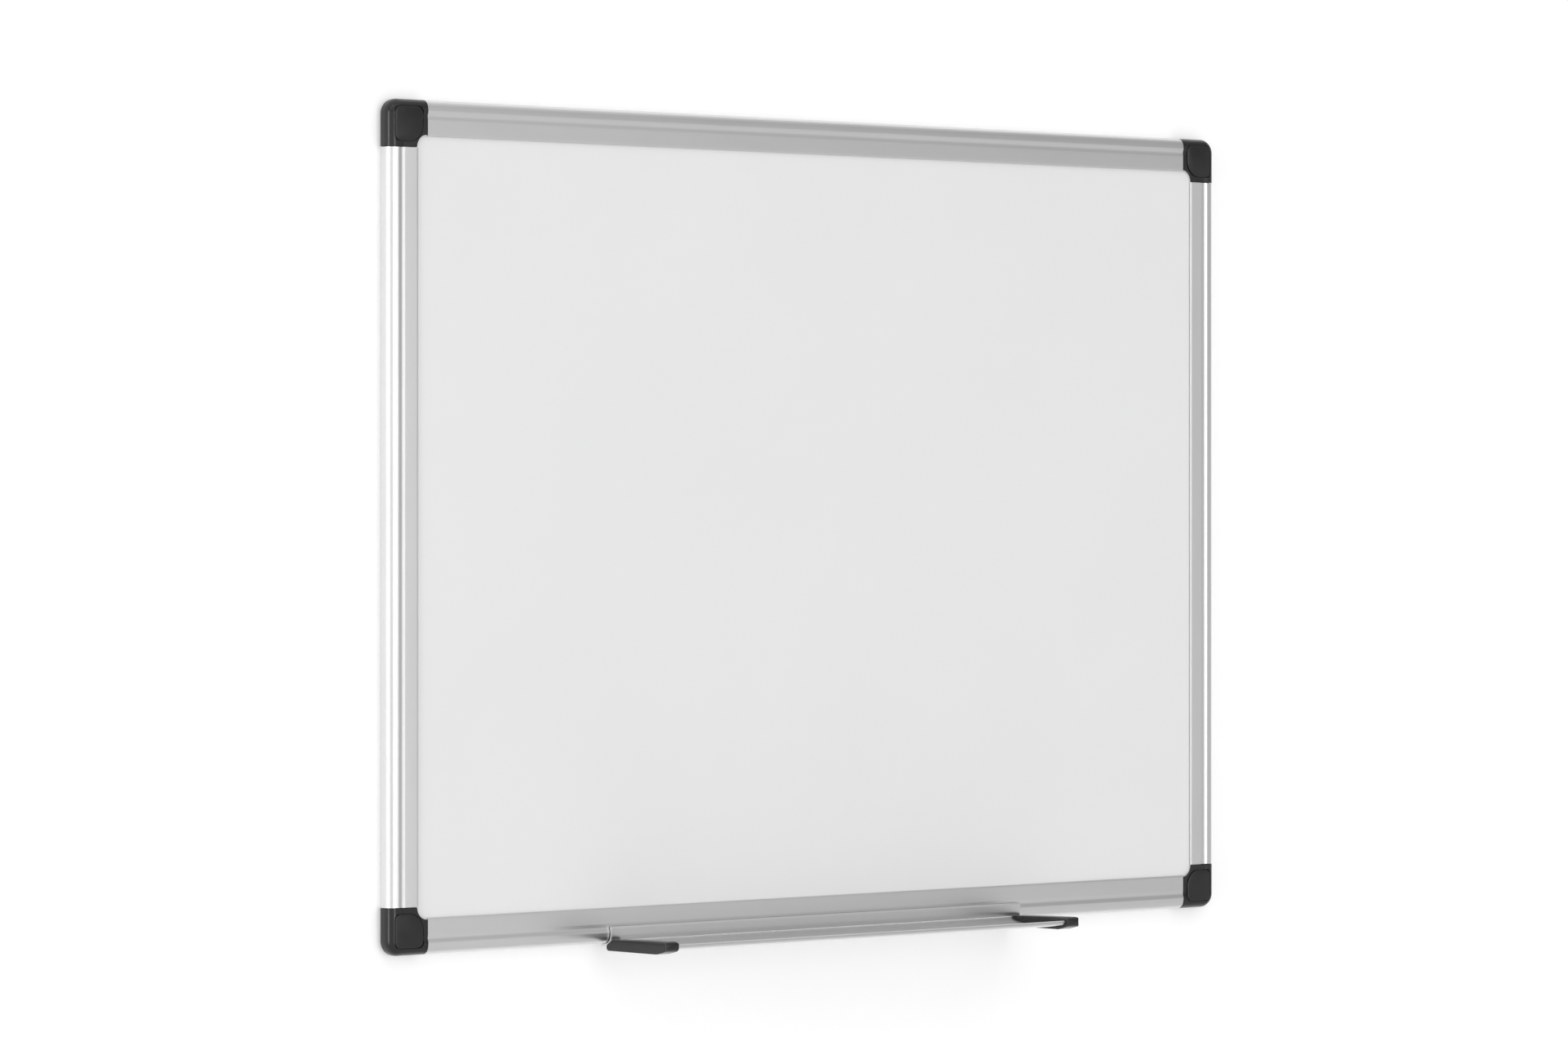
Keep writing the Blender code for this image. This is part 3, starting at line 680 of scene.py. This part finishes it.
def screw_thread():
    """The spiral ridge of the screw's thread, which fades out at both its ends."""
    start = SEAT_THICKNESS + CLEARANCE - SHANK_CLEAR_LENGTH
    count = THREAD_COUNT * THREAD_STEPS
    root = THREAD_PITCH * THREAD_ROOT_SHARE / 2
    rings = []
    for i in range(count + 1):
        height = THREAD_HEIGHT * min(1, i / THREAD_STEPS, (count - i) / THREAD_STEPS)
        angle = math.tau * i / THREAD_STEPS
        level = start - THREAD_PITCH * i / THREAD_STEPS
        section = ((-THREAD_SINK, root), (height, 0), (-THREAD_SINK, -root))
        turn = Matrix.Rotation(angle, 3, "Z")
        rings.append(
            [turn @ Vector((SHANK_RADIUS + out, 0, level + up)) for out, up in section]
        )
    mesh = bpy.data.meshes.new("screw_thread")
    bm = bmesh.new()
    loops = [[bm.verts.new(point) for point in ring] for ring in rings]
    for one, two in zip(loops, loops[1:]):
        for k in range(3):
            bm.faces.new((one[k], one[k - 1], two[k - 1], two[k]))
    bm.faces.new(loops[0])
    bm.faces.new(reversed(loops[-1]))
    bmesh.ops.recalc_face_normals(bm, faces=bm.faces)
    bm.to_mesh(mesh)
    bm.free()
    return linked("screw_thread", mesh)


def wall_screw():
    """A pan-head screw with a cross recess and a spiral thread."""
    screw = turned("screw", screw_profile())
    top = SEAT_THICKNESS + CLEARANCE + HEAD_HEIGHT
    bottom = top - DRIVE_DEPTH
    long, wide = DRIVE_LENGTH / 2, DRIVE_WIDTH / 2
    slots = [
        box("drive_u", (-long, -wide, bottom), (long, wide, top + OVERRUN)),
        box("drive_v", (-wide, -long, bottom), (wide, long, top + OVERRUN)),
    ]
    screw = boolean(screw, slots, "DIFFERENCE")
    screw = boolean(screw, [screw_thread()], "UNION")
    screw.data.transform(Matrix.Translation((SCREW_INSET, SCREW_INSET, 0)))
    shade(screw)
    return screw


def make_corners(looks):
    """At each corner a moulded cap, the screw through it and the cover over that."""
    cap = corner_cap()
    cover = screw_cover()
    screw = wall_screw()
    for name, along_x, along_z, turns in CORNERS:
        placement = edge_placement(along_x, along_z, turns, PLAN_AXES)
        parts = (
            (cap, "corner", "board", "corner_cap", "dark_grey_plastic"),
            (cover, "cover", f"cover_{name}", "screw_cover", "dark_grey_plastic"),
            (screw, "screw", "board", "wall_screw", "zinc_plated_steel"),
        )
        for original, stem, body, node, slot in parts:
            piece = original.copy()
            piece.data = original.data.copy()
            piece.name = f"{name}_{stem}"
            bpy.context.scene.collection.objects.link(piece)
            dress(piece, body, f"{node}_{name}", looks[slot], placement)
    remove(cap, cover, screw)


def clip_outline():
    """The tray's clip: a lip in the rail's groove, a plate before it, a hook under it."""
    hook_centre = (BEAD_BACK_RADIUS, BEAD_BACK_RADIUS)
    hook_inner = BEAD_BACK_RADIUS + CLEARANCE
    hook_end = -math.pi / 2 - HOOK_TURN
    plate_inner = RAIL_DEPTH + CLEARANCE
    outer = arc(CLIP_CENTRE, CLIP_OUTER, 0, -math.pi / 2)
    outer += arc(hook_centre, hook_inner + CLIP_WALL, -math.pi / 2, hook_end)
    inner = arc(hook_centre, hook_inner, hook_end, -math.pi / 2)
    inner += arc(CLIP_CENTRE, CLIP_INNER, -math.pi / 2, 0)
    nose = [
        (plate_inner, CREST_END + CLEARANCE),
        (RAIL_DEPTH - GROOVE_DEPTH + CLIP_TIP_GAP, GROOVE_CENTRE),
        (RAIL_DEPTH - GROOVE_DEPTH + CLIP_TIP_GAP, CLIP_TOP),
        (plate_inner + CLIP_WALL / 4, CLIP_TOP),
        (plate_inner + CLIP_WALL, CLIP_TOP - CLIP_NOSE),
    ]
    return outer + inner + nose


def shelf_outline(grow=0):
    """The pen trough: a sheet sagging between the clip and a thick rounded front lip."""
    half = SHELF_SPAN / 2
    middle = SHELF_START[0] + half
    top_radius = (half**2 + SHELF_SAG**2) / (SHELF_SAG * 2)
    sweep = math.asin(half / top_radius)
    centre = (middle, CREST_LEVEL - SHELF_SAG + top_radius)
    down = -math.pi / 2
    top = arc(centre, top_radius - grow, down - sweep, down + sweep, ARC_STEPS * 2)
    lip_centre = (SHELF_START[0] + SHELF_SPAN, CREST_LEVEL - LIP_RADIUS)
    lip = arc(lip_centre, LIP_RADIUS + grow, math.pi / 2, -math.pi / 2)
    rise = lip_centre[1] - LIP_RADIUS - SHELF_LOW
    front_radius = (half**2 + rise**2) / (rise * 2)
    front_centre = (middle, SHELF_LOW + front_radius)
    front_sweep = math.asin(half / front_radius)
    front = arc(front_centre, front_radius + grow, down + front_sweep, down)
    back = arc(centre, top_radius + SHELF_WALL + grow, down, down - sweep)
    return top[:-1] + lip + front[1:-1] + back


def make_tray(look):
    """The clip and the trough as one extrusion."""
    half = TRAY_LENGTH / 2
    tray = solid("tray", [clip_outline()], -half, half)
    shelf = solid("shelf", [shelf_outline()], -half, half)
    tray = boolean(tray, [shelf], "UNION")
    soften(tray, CREASE_EASE / 2)
    placement = axes_matrix(TRAY_AXES, TRAY_PLACE)
    dress(tray, "tray", "pen_tray", look, placement)


def tray_cap_outline():
    """The end cap seen from the side: slanted back, rounded heel and chin, sloping top."""
    back = CLIP_CENTRE[0] + CLIP_OUTER + TRAY_CAP_BACK_GAP
    heel = CLIP_CENTRE[0] - TRAY_CAP_HEEL_REACH
    toe = TRAY_CAP_FRONT - TRAY_CAP_RAKE
    return rounded(
        [
            (heel, TRAY_CAP_LOW, TRAY_CAP_HEEL_RADIUS),
            (toe, TRAY_CAP_LOW + TRAY_CAP_SOLE_RISE, TRAY_CAP_SOLE_RADIUS),
            (TRAY_CAP_FRONT, TRAY_CAP_HIGH - TRAY_CAP_CHIN, TRAY_CAP_CHIN_RADIUS),
            (TRAY_CAP_FRONT, TRAY_CAP_HIGH, TRAY_CAP_TOP_RADIUS),
            (back, CREST_LEVEL + TRAY_CAP_BACK_RISE, 0),
        ]
    )


def tray_cap_plan(side):
    """The end cap seen from above, with its nose rounded more on the outer side."""
    return rounded(
        [
            (side * TRAY_CAP_INNER, 0, 0),
            (side * TRAY_CAP_INNER, TRAY_CAP_FRONT, TRAY_CAP_INNER_RADIUS),
            (side * TRAY_CAP_OUTER, TRAY_CAP_FRONT, TRAY_CAP_PLAN_RADIUS),
            (side * TRAY_CAP_OUTER, 0, 0),
        ]
    )


def tray_cap_view(side):
    """The end cap seen from the front, with both its upper edges rounded."""
    foot = TRAY_CAP_LOW - OVERRUN
    return rounded(
        [
            (side * TRAY_CAP_INNER, foot, 0),
            (side * TRAY_CAP_INNER, TRAY_CAP_HIGH, TRAY_CAP_SIDE_RADIUS),
            (side * TRAY_CAP_OUTER, TRAY_CAP_HIGH, TRAY_CAP_SIDE_RADIUS),
            (side * TRAY_CAP_OUTER, foot, 0),
        ]
    )


def make_tray_ends(look):
    """Push-on end caps, each with a slot that takes the shelf's end."""
    above = TRAY_CAP_HIGH + OVERRUN
    below = TRAY_CAP_LOW - OVERRUN
    slot_end = TRAY_LENGTH / 2 + CLEARANCE
    section = axes_matrix(TRAY_AXES)
    down = axes_matrix(TRAY_PLAN_AXES)
    out = axes_matrix(PLAN_AXES)
    for name, side in (("left", -1), ("right", 1)):
        ends = sorted((-side * TRAY_CAP_INNER, -side * TRAY_CAP_OUTER))
        cap = solid(f"tray_{name}_end", [tray_cap_outline()], *ends, section)
        plan = solid("plan", [tray_cap_plan(side)], -above, -below, down)
        cap = boolean(cap, [plan], "INTERSECT")
        view = solid("view", [tray_cap_view(side)], 0, TRAY_CAP_FRONT + OVERRUN, out)
        cap = boolean(cap, [view], "INTERSECT")
        slot_ends = sorted((-side * (TRAY_CAP_INNER - OVERRUN), -side * slot_end))
        slot = solid("slot", [shelf_outline(CLEARANCE)], *slot_ends, section)
        cap = boolean(cap, [slot], "DIFFERENCE")
        soften(cap, TRAY_CAP_EDGE_EASE)
        placement = Matrix.Translation(TRAY_PLACE)
        node = f"tray_end_cap_{name}"
        dress(cap, "tray", node, look, placement)


def add_node(tree, kind, settings=None, **values):
    """A shader node with its settings and the values of its sockets."""
    result = tree.nodes.new(kind)
    for key, value in (settings or {}).items():
        setattr(result, key, value)
    for key, value in values.items():
        result.inputs[key.replace("_", " ")].default_value = value
    return result


def new_look(name, colour, roughness, metallic):
    """A material with its plain colour and finish, its nodes and its shader."""
    look = bpy.data.materials.new(name)
    look.use_nodes = True
    tree = look.node_tree
    shader = tree.nodes["Principled BSDF"]
    shader.inputs["Base Color"].default_value = (*colour, 1)
    shader.inputs["Roughness"].default_value = roughness
    shader.inputs["Metallic"].default_value = metallic
    return look, tree, shader


def grain(tree, stretch, scale, detail=4.0):
    """Noise in the piece's own coordinates, stretched along its axes."""
    coordinates = add_node(tree, "ShaderNodeTexCoord")
    mapping = add_node(tree, "ShaderNodeMapping", Scale=stretch)
    noise = add_node(tree, "ShaderNodeTexNoise", Scale=scale, Detail=detail)
    tree.links.new(coordinates.outputs["Object"], mapping.inputs["Vector"])
    tree.links.new(mapping.outputs["Vector"], noise.inputs["Vector"])
    return noise.outputs["Fac"]


def spread(tree, source, low, high):
    """A grain's middle values spread between two numbers."""
    ranged = add_node(
        tree,
        "ShaderNodeMapRange",
        From_Min=GRAIN_FROM,
        From_Max=GRAIN_TO,
        To_Min=low,
        To_Max=high,
    )
    tree.links.new(source, ranged.inputs["Value"])
    return ranged.outputs["Result"]


def tinted(tree, shader, source, dark, light):
    """The shader's colour, run between two tones by a grain."""
    mix = add_node(tree, "ShaderNodeMix", {"data_type": "RGBA"})
    mix.inputs["A"].default_value = (*dark, 1)
    mix.inputs["B"].default_value = (*light, 1)
    tree.links.new(spread(tree, source, 0.0, 1.0), mix.inputs["Factor"])
    tree.links.new(mix.outputs["Result"], shader.inputs["Base Color"])


def roughened(tree, shader, source, low, high):
    """The shader's roughness, run between two numbers by a grain."""
    tree.links.new(spread(tree, source, low, high), shader.inputs["Roughness"])


def bumped(tree, shader, source, strength, distance):
    """The shader's surface, raised a little by a grain."""
    bump = add_node(tree, "ShaderNodeBump", Strength=strength, Distance=distance)
    tree.links.new(source, bump.inputs["Height"])
    tree.links.new(bump.outputs["Normal"], shader.inputs["Normal"])


def aluminium_look():
    """Satin anodised extrusion, with faint die lines along its length."""
    look, tree, shader = new_look(
        "satin aluminium", colour=(0.75, 0.75, 0.752), roughness=0.34, metallic=1.0
    )
    shader.inputs["Anisotropic"].default_value = 0.35
    around = add_node(tree, "ShaderNodeTangent", {"direction_type": "RADIAL", "axis": "Z"})
    tree.links.new(around.outputs["Tangent"], shader.inputs["Tangent"])
    lines = grain(tree, stretch=(1, 1, 0.004), scale=2600.0)
    clouds = grain(tree, stretch=(1, 1, 0.3), scale=60.0, detail=2.0)
    tinted(tree, shader, clouds, dark=(0.74, 0.74, 0.742), light=(0.76, 0.76, 0.762))
    roughened(tree, shader, lines, low=0.32, high=0.36)
    bumped(tree, shader, lines, strength=0.03, distance=0.00002)
    return look


def plastic_look():
    """Dark grey moulding with a fine even texture."""
    look, tree, shader = new_look(
        "dark moulding", colour=(0.011, 0.011, 0.0107), roughness=0.24, metallic=0.0
    )
    pits = grain(tree, stretch=(1, 1, 1), scale=5200.0, detail=2.0)
    clouds = grain(tree, stretch=(1, 1, 1), scale=160.0, detail=3.0)
    tinted(tree, shader, clouds, dark=(0.010, 0.010, 0.0097), light=(0.012, 0.012, 0.0117))
    roughened(tree, shader, clouds, low=0.21, high=0.27)
    bumped(tree, shader, pits, strength=0.12, distance=0.00003)
    return look


def lacquer_look():
    """White gloss lacquer with a trace of orange peel."""
    look, tree, shader = new_look(
        "white lacquer", colour=(0.83, 0.83, 0.835), roughness=0.16, metallic=0.0
    )
    peel = grain(tree, stretch=(1, 1, 1), scale=320.0, detail=1.0)
    clouds = grain(tree, stretch=(1, 1, 1), scale=9.0, detail=2.0)
    tinted(tree, shader, clouds, dark=(0.825, 0.827, 0.833), light=(0.837, 0.839, 0.845))
    roughened(tree, shader, clouds, low=0.14, high=0.18)
    bumped(tree, shader, peel, strength=0.05, distance=0.00002)
    return look


def fibre_look():
    """Raw pressed fibre, brown and matt."""
    look, tree, shader = new_look(
        "pressed fibre", colour=(0.45, 0.34, 0.22), roughness=0.85, metallic=0.0
    )
    fibres = grain(tree, stretch=(1, 1, 4), scale=700.0)
    tinted(tree, shader, fibres, dark=(0.36, 0.26, 0.16), light=(0.52, 0.40, 0.27))
    bumped(tree, shader, fibres, strength=0.4, distance=0.0002)
    return look


def galvanised_look():
    """Zinc spangle: flat grains that each catch the light their own way."""
    look, tree, shader = new_look(
        "zinc spangle", colour=(0.52, 0.54, 0.55), roughness=0.45, metallic=1.0
    )
    coordinates = add_node(tree, "ShaderNodeTexCoord")
    cells = add_node(tree, "ShaderNodeTexVoronoi", Scale=130.0)
    tree.links.new(coordinates.outputs["Object"], cells.inputs["Vector"])
    tones = add_node(tree, "ShaderNodeSeparateColor")
    tree.links.new(cells.outputs["Color"], tones.inputs["Color"])
    red, green = tones.outputs["Red"], tones.outputs["Green"]
    tinted(tree, shader, red, dark=(0.48, 0.50, 0.515), light=(0.57, 0.59, 0.60))
    roughened(tree, shader, green, low=0.36, high=0.52)
    return look


def zinc_look():
    """Bright zinc plate with a cloudy tone."""
    look, tree, shader = new_look(
        "zinc plate", colour=(0.66, 0.66, 0.64), roughness=0.28, metallic=1.0
    )
    clouds = grain(tree, stretch=(1, 1, 1), scale=500.0)
    tinted(tree, shader, clouds, dark=(0.60, 0.61, 0.60), light=(0.70, 0.69, 0.65))
    roughened(tree, shader, clouds, low=0.22, high=0.36)
    return look


def make_camera():
    """The photograph's camera: level, with its lens shifted to the horizon."""
    data = bpy.data.cameras.new("camera")
    data.sensor_width = SENSOR_MM
    data.lens = CAMERA_LENS_MM
    data.shift_y = (HORIZON_PX - PHOTO_HEIGHT_PX / 2) / PHOTO_WIDTH_PX
    camera = bpy.data.objects.new("camera", data)
    camera.location = CAMERA_PLACE
    camera.rotation_euler = (math.pi / 2, 0, CAMERA_TURN)
    bpy.context.scene.collection.objects.link(camera)
    bpy.context.scene.camera = camera


def light_path(tree, rays):
    """One where a ray of one of these kinds looks, and nought elsewhere."""
    path = add_node(tree, "ShaderNodeLightPath")
    seen = path.outputs[rays[0]]
    for ray in rays[1:]:
        either = add_node(tree, "ShaderNodeMath", {"operation": "MAXIMUM"})
        tree.links.new(seen, either.inputs[0])
        tree.links.new(path.outputs[ray], either.inputs[1])
        seen = either.outputs[0]
    return seen


def stage_look(name, strength, rays, one_sided):
    """A white backdrop that keeps soft shadows and is lifted to white where it is seen."""
    look = bpy.data.materials.new(name)
    look.use_nodes = True
    tree = look.node_tree
    tree.nodes.clear()
    output = add_node(tree, "ShaderNodeOutputMaterial")
    matte = add_node(tree, "ShaderNodeBsdfDiffuse", Color=STAGE_COLOUR)
    glow = add_node(tree, "ShaderNodeEmission")
    lift = add_node(tree, "ShaderNodeMath", {"operation": "MULTIPLY"})
    lift.inputs[1].default_value = strength
    both = add_node(tree, "ShaderNodeAddShader")
    tree.links.new(light_path(tree, rays), lift.inputs[0])
    tree.links.new(lift.outputs[0], glow.inputs["Strength"])
    tree.links.new(matte.outputs[0], both.inputs[0])
    tree.links.new(glow.outputs[0], both.inputs[1])
    surface = both.outputs[0]
    if one_sided:
        geometry = add_node(tree, "ShaderNodeNewGeometry")
        clear = add_node(tree, "ShaderNodeBsdfTransparent")
        side = add_node(tree, "ShaderNodeMixShader")
        tree.links.new(geometry.outputs["Backfacing"], side.inputs[0])
        tree.links.new(surface, side.inputs[1])
        tree.links.new(clear.outputs[0], side.inputs[2])
        surface = side.outputs[0]
    tree.links.new(surface, output.inputs["Surface"])
    return look


def stage_sheet(name, size, placement, look):
    """A square sheet of the stage, which is no part of the board."""
    mesh = bpy.data.meshes.new(name)
    with_bmesh(mesh, lambda bm: bmesh.ops.create_grid(bm, size=size / 2))
    sheet = linked(name, mesh)
    sheet.matrix_world = placement
    paint(sheet, look)
    return sheet


def make_stage():
    """A white wall that the board hangs on and a pale floor well below it."""
    at_wall = axes_matrix(PLAN_AXES, (0, WALL_GAP, 0))
    at_floor = Matrix.Translation((0, 0, FLOOR_LEVEL))
    wall_look = stage_look("wall", WALL_GLOW, SEEN_RAYS, one_sided=True)
    floor_look = stage_look("floor", FLOOR_GLOW, CAMERA_RAYS, one_sided=False)
    wall = stage_sheet("wall", WALL_SIZE, at_wall, wall_look)
    wall.visible_diffuse = False
    wall.visible_shadow = False
    stage_sheet("floor", FLOOR_SIZE, at_floor, floor_look)


def ramp(tree, source, values):
    """A number that eases from one value to another as the source runs between two."""
    eased = add_node(tree, "ShaderNodeMapRange", {"interpolation_type": "SMOOTHSTEP"})
    for socket, value in zip(("From Min", "From Max", "To Min", "To Max"), values):
        eased.inputs[socket].default_value = value
    tree.links.new(source, eased.inputs["Value"])
    return eased.outputs["Result"]


def make_world():
    """Studio light, brighter from the left and below, and plain white to the camera."""
    world = bpy.data.worlds.new("studio")
    bpy.context.scene.world = world
    world.use_nodes = True
    tree = world.node_tree
    background = tree.nodes["Background"]
    background.inputs["Color"].default_value = (1, 1, 1, 1)
    coordinates = add_node(tree, "ShaderNodeTexCoord")
    split = add_node(tree, "ShaderNodeSeparateXYZ")
    level = add_node(tree, "ShaderNodeMath", {"operation": "MULTIPLY"})
    shown = add_node(tree, "ShaderNodeMix")
    shown.inputs["B"].default_value = 1.0
    tree.links.new(coordinates.outputs["Generated"], split.inputs["Vector"])
    tree.links.new(ramp(tree, split.outputs["X"], LIGHT_ACROSS), level.inputs[0])
    tree.links.new(ramp(tree, split.outputs["Z"], LIGHT_UP), level.inputs[1])
    tree.links.new(light_path(tree, CAMERA_RAYS), shown.inputs["Factor"])
    tree.links.new(level.outputs[0], shown.inputs["A"])
    tree.links.new(shown.outputs["Result"], background.inputs["Strength"])


def make_lamps():
    """Soft suns raised by an angle and upright strips at a distance, turned from the front."""
    for name, turn, rise, width, strength in LAMPS:
        data = bpy.data.lights.new(name, "SUN")
        data.energy = strength
        data.angle = math.radians(width)
        lamp = bpy.data.objects.new(name, data)
        lamp.rotation_euler = (math.radians(90 - rise), 0, math.radians(turn))
        bpy.context.scene.collection.objects.link(lamp)
    for name, turn, distance, width, height, power in STRIPS:
        data = bpy.data.lights.new(name, "AREA")
        data.shape = "RECTANGLE"
        data.size, data.size_y = width, height
        data.energy = power
        lamp = bpy.data.objects.new(name, data)
        upright = Matrix.Rotation(math.pi / 2, 4, "X")
        placement = Matrix.Translation((0, -distance, 0)) @ upright
        lamp.matrix_world = Matrix.Rotation(turn, 4, "Z") @ placement
        bpy.context.scene.collection.objects.link(lamp)


def main():
    looks = {
        "anodised_aluminium": aluminium_look(),
        "dark_grey_plastic": plastic_look(),
        "zinc_plated_steel": zinc_look(),
    }
    make_camera()
    make_world()
    make_lamps()
    make_stage()
    paint(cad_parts["writing_sheet"], lacquer_look())
    paint(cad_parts["core_board"], fibre_look())
    paint(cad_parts["backing_sheet"], galvanised_look())
    make_rails(looks["anodised_aluminium"])
    make_corners(looks)
    make_tray(looks["anodised_aluminium"])
    make_tray_ends(looks["dark_grey_plastic"])
    bpy.context.scene.view_settings.view_transform = "Standard"


main()
